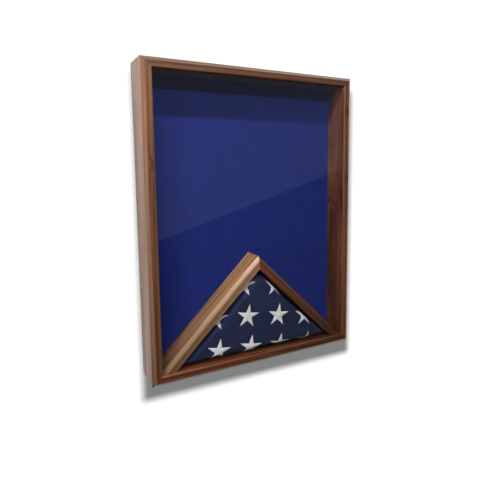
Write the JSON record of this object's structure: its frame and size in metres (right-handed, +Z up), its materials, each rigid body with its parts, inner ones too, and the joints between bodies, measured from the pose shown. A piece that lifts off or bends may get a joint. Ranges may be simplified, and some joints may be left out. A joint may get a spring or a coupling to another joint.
{
  "type": "folded flag display case",
  "caption": "Rectangular wooden shadow box with a glass front, a triangular compartment holding a folded flag, a felt-lined display space above it and a lift-off back.",
  "frame": {"origin": "centre of the underside, halfway between the front and rear edges of the boards", "axes": "+Z up; the glass faces -Y and the loose back faces +Y; X runs across the case"},
  "size_m": [0.4572, 0.0812, 0.6096],
  "materials": {
    "walnut": "satin",
    "maple_spline": "raw",
    "glass": "polished",
    "flag_cloth": "woven",
    "blue_felt": "felt",
    "pin_board": "matte",
    "hardboard": "matte",
    "steel": "zinc plated",
    "brass": "satin",
    "bumper": "matte"
  },
  "bodies": {
    "case": {"frame_bottom": "walnut", "frame_top": "walnut", "frame_left": "walnut", "frame_right": "walnut", "flag_leg_left": "walnut", "flag_leg_right": "walnut", "corner_spline_bottom_left": "maple_spline", "corner_spline_bottom_right": "maple_spline", "corner_spline_top_left": "maple_spline", "corner_spline_top_right": "maple_spline", "apex_spline": "maple_spline", "glass_pane": "glass", "folded_flag": "flag_cloth", "leg_screws": "steel", "turn_button_screws": "brass", "hanger_screws": "steel", "wall_bumpers": "bumper", "hanger_strap_left": "steel", "hanger_strap_right": "steel"},
    "back": {"felt_liner": "blue_felt", "pin_board": "pin_board", "back_panel": "hardboard"},
    "turn_button_left_lower": {"turn_button_left_lower": "brass"},
    "turn_button_right_lower": {"turn_button_right_lower": "brass"},
    "turn_button_left_upper": {"turn_button_left_upper": "brass"},
    "turn_button_right_upper": {"turn_button_right_upper": "brass"},
    "turn_button_bottom_left": {"turn_button_bottom_left": "brass"},
    "turn_button_bottom_right": {"turn_button_bottom_right": "brass"},
    "turn_button_top_left": {"turn_button_top_left": "brass"},
    "turn_button_top_right": {"turn_button_top_right": "brass"},
    "hanger_ring_left": {"hanger_ring_left": "steel"},
    "hanger_ring_right": {"hanger_ring_right": "steel"}
  },
  "joints": [
    {"name": "back_lift_off", "type": "slide", "parent": "case", "child": "back", "axis": [0, 1, 0], "range_m": [0, 0.08]},
    {"name": "turn_button_left_lower_turn", "type": "hinge", "parent": "case", "child": "turn_button_left_lower", "pos_m": [-0.22225, 0.0381, 0.13411], "axis": [0, -1, 0], "range_deg": [0, 90]},
    {"name": "turn_button_right_lower_turn", "type": "hinge", "parent": "case", "child": "turn_button_right_lower", "pos_m": [0.22225, 0.0381, 0.13411], "axis": [0, 1, 0], "range_deg": [0, 90]},
    {"name": "turn_button_left_upper_turn", "type": "hinge", "parent": "case", "child": "turn_button_left_upper", "pos_m": [-0.22225, 0.0381, 0.37795], "axis": [0, -1, 0], "range_deg": [0, 90]},
    {"name": "turn_button_right_upper_turn", "type": "hinge", "parent": "case", "child": "turn_button_right_upper", "pos_m": [0.22225, 0.0381, 0.37795], "axis": [0, 1, 0], "range_deg": [0, 90]},
    {"name": "turn_button_bottom_left_turn", "type": "hinge", "parent": "case", "child": "turn_button_bottom_left", "pos_m": [-0.10973, 0.0381, 0.00635], "axis": [0, 1, 0], "range_deg": [0, 90]},
    {"name": "turn_button_bottom_right_turn", "type": "hinge", "parent": "case", "child": "turn_button_bottom_right", "pos_m": [0.10973, 0.0381, 0.00635], "axis": [0, -1, 0], "range_deg": [0, 90]},
    {"name": "turn_button_top_left_turn", "type": "hinge", "parent": "case", "child": "turn_button_top_left", "pos_m": [-0.10973, 0.0381, 0.60325], "axis": [0, -1, 0], "range_deg": [0, 90]},
    {"name": "turn_button_top_right_turn", "type": "hinge", "parent": "case", "child": "turn_button_top_right", "pos_m": [0.10973, 0.0381, 0.60325], "axis": [0, 1, 0], "range_deg": [0, 90]},
    {"name": "hanger_ring_left_swing", "type": "hinge", "parent": "case", "child": "hanger_ring_left", "pos_m": [-0.22225, 0.0405, 0.48768], "axis": [1, 0, 0], "range_deg": [0, 180]},
    {"name": "hanger_ring_right_swing", "type": "hinge", "parent": "case", "child": "hanger_ring_right", "pos_m": [0.22225, 0.0405, 0.48768], "axis": [1, 0, 0], "range_deg": [0, 180]}
  ]
}
